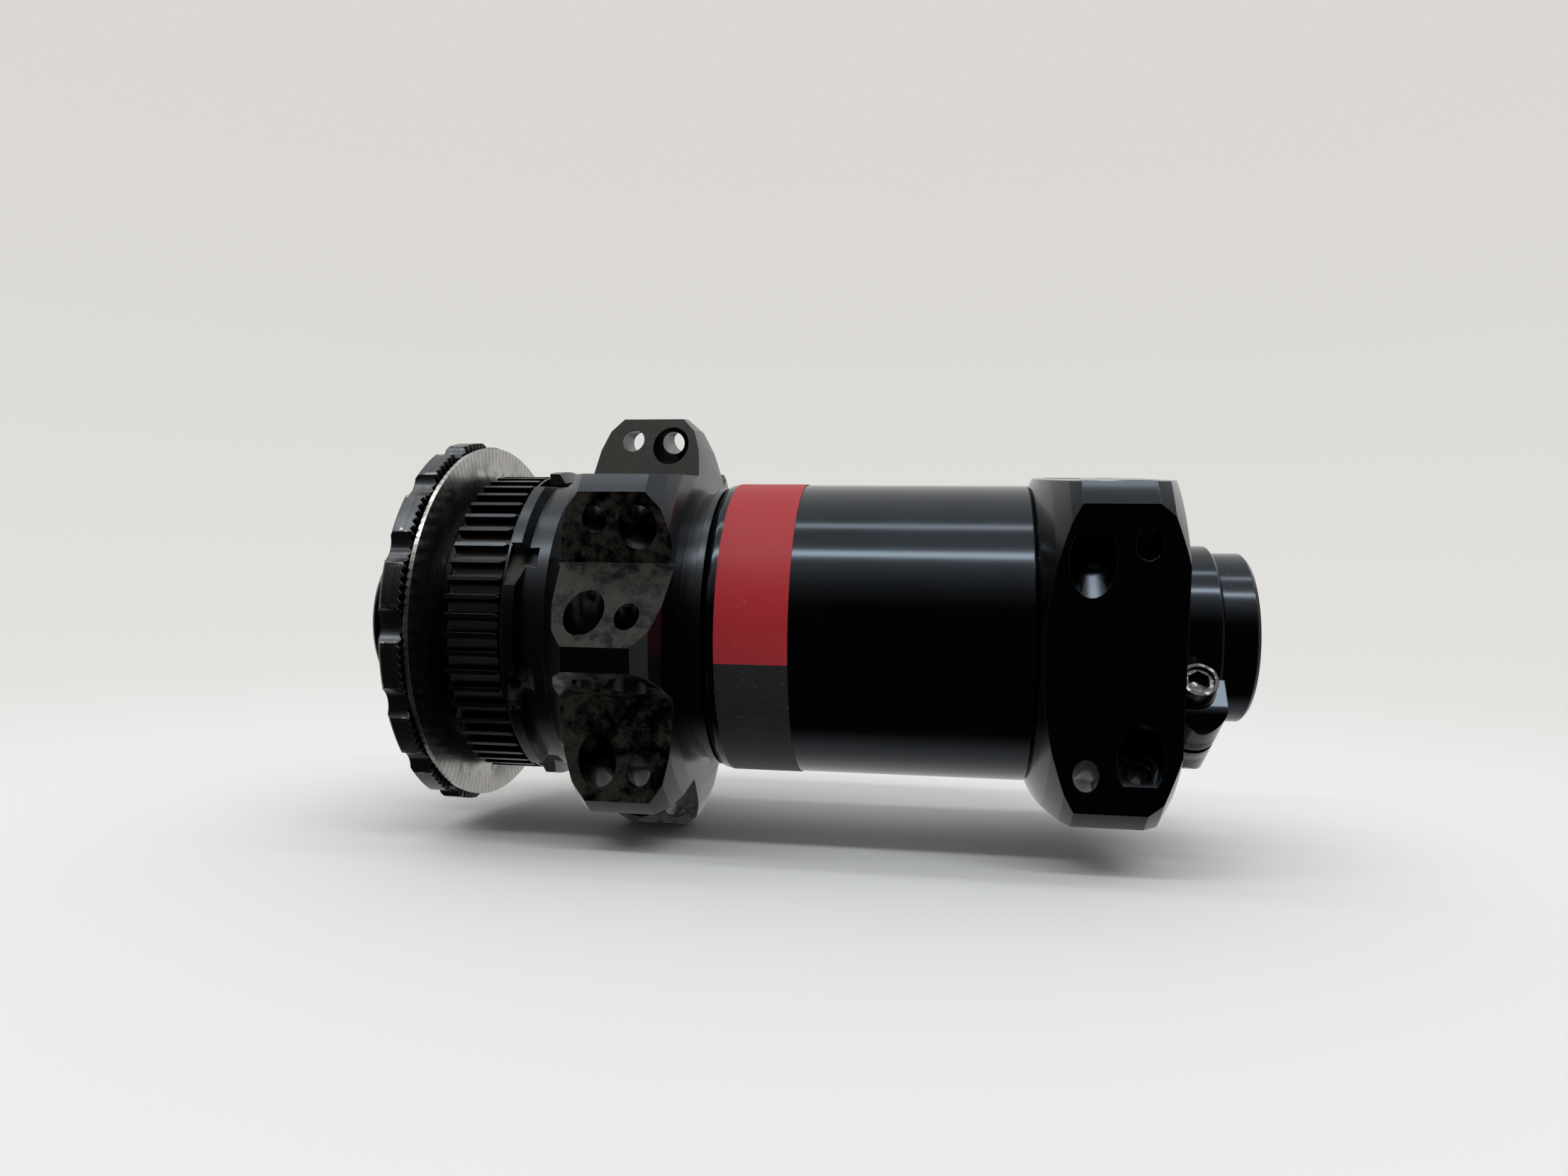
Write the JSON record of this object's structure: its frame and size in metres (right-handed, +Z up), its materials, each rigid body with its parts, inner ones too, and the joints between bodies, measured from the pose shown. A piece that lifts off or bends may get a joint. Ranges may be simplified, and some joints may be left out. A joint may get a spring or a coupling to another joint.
{
  "type": "bicycle front hub",
  "caption": "Front through-axle bicycle hub with a splined disc side, lobed and flatted straight-pull spoke flanges, caged ball bearings and a preload collar.",
  "frame": {"origin": "centre of the thru-axle bore, midway between the two end faces", "axes": "+Y along the axle towards the preload collar, rotor side at -Y; +Z up; +X forwards, towards the viewer of the reference view"},
  "size_m": [0.0496, 0.1, 0.0496],
  "materials": {
    "anodised": "satin black anodised",
    "anodised_gloss": "polished black anodised",
    "brushed_washer": "brushed",
    "bearing_steel": "ground",
    "seal_rubber": "matt",
    "cage_nylon": "matt",
    "band_red": "satin printed film",
    "band_grey": "satin printed film",
    "screw_steel": "black oxide, worn bright"
  },
  "bodies": {
    "axle": {"axle_tube": "anodised", "rotor_inner_race": "bearing_steel", "plain_inner_race": "bearing_steel", "rotor_cap_oring": "seal_rubber", "plain_cap_oring": "seal_rubber"},
    "hub_shell": {"rotor_side_flange": "anodised", "hub_barrel": "anodised_gloss", "plain_side_flange": "anodised_gloss", "band_red": "band_red", "band_grey": "band_grey", "rotor_outer_race": "bearing_steel", "plain_outer_race": "bearing_steel", "rotor_outboard_seal": "seal_rubber", "rotor_inboard_seal": "seal_rubber", "plain_outboard_seal": "seal_rubber", "plain_inboard_seal": "seal_rubber", "rotor_dust_cover": "anodised", "plain_dust_cover": "anodised"},
    "rotor_ball_set": {"rotor_balls": "bearing_steel", "rotor_cage": "cage_nylon"},
    "plain_ball_set": {"plain_balls": "bearing_steel", "plain_cage": "cage_nylon"},
    "lockring_washer": {"lockring_washer": "brushed_washer"},
    "rotor_lockring": {"rotor_lockring": "anodised"},
    "preload_shim": {"preload_shim": "brushed_washer"},
    "adjusting_collar": {"adjusting_collar": "anodised_gloss"},
    "pinch_washer": {"pinch_washer": "screw_steel"},
    "pinch_screw": {"pinch_screw": "screw_steel"},
    "rotor_end_cap": {"rotor_end_cap": "anodised_gloss"},
    "plain_end_cap": {"plain_end_cap": "anodised_gloss"}
  },
  "joints": [
    {"name": "shell_spin", "type": "hinge", "parent": "axle", "child": "hub_shell", "pos_m": [0, 0, 0], "axis": [0, 1, 0], "continuous": true},
    {"name": "rotor_ball_orbit", "type": "hinge", "parent": "axle", "child": "rotor_ball_set", "pos_m": [0, -0.0265, 0], "axis": [0, 1, 0], "continuous": true},
    {"name": "plain_ball_orbit", "type": "hinge", "parent": "axle", "child": "plain_ball_set", "pos_m": [0, 0.0365, 0], "axis": [0, 1, 0], "continuous": true},
    {"name": "lockring_turn", "type": "hinge", "parent": "lockring_washer", "child": "rotor_lockring", "pos_m": [0, -0.04, 0], "axis": [0, -1, 0], "range_deg": [-180, 1800]},
    {"name": "lockring_travel", "type": "slide", "parent": "hub_shell", "child": "lockring_washer", "axis": [0, -1, 0], "range_m": [-0.0005, 0.005]},
    {"name": "collar_turn", "type": "hinge", "parent": "preload_shim", "child": "adjusting_collar", "pos_m": [0, 0.043, 0], "axis": [0, 1, 0], "range_deg": [0, 54]},
    {"name": "collar_travel", "type": "slide", "parent": "axle", "child": "preload_shim", "axis": [0, 1, 0], "range_m": [0, 0.00015]},
    {"name": "pinch_screw_turn", "type": "hinge", "parent": "pinch_washer", "child": "pinch_screw", "pos_m": [0.01124, 0.04295, -0.00503], "axis": [0.8339, 0, 0.5519], "range_deg": [0, 720]},
    {"name": "pinch_screw_travel", "type": "slide", "parent": "adjusting_collar", "child": "pinch_washer", "axis": [0.8339, 0, 0.5519], "range_m": [0, 0.0009]},
    {"name": "rotor_cap_pull", "type": "slide", "parent": "axle", "child": "rotor_end_cap", "axis": [0, -1, 0], "range_m": [0, 0.02]},
    {"name": "plain_cap_pull", "type": "slide", "parent": "axle", "child": "plain_end_cap", "axis": [0, 1, 0], "range_m": [0, 0.008]}
  ],
  "couplings": [
    {"joint": "rotor_ball_orbit", "follows": "shell_spin", "ratio": 0.5923},
    {"joint": "plain_ball_orbit", "follows": "shell_spin", "ratio": 0.5923},
    {"joint": "lockring_turn", "follows": "lockring_travel", "rad_per_m": 6283.2},
    {"joint": "collar_turn", "follows": "collar_travel", "rad_per_m": 6283.2},
    {"joint": "pinch_screw_turn", "follows": "pinch_screw_travel", "rad_per_m": 13963}
  ]
}
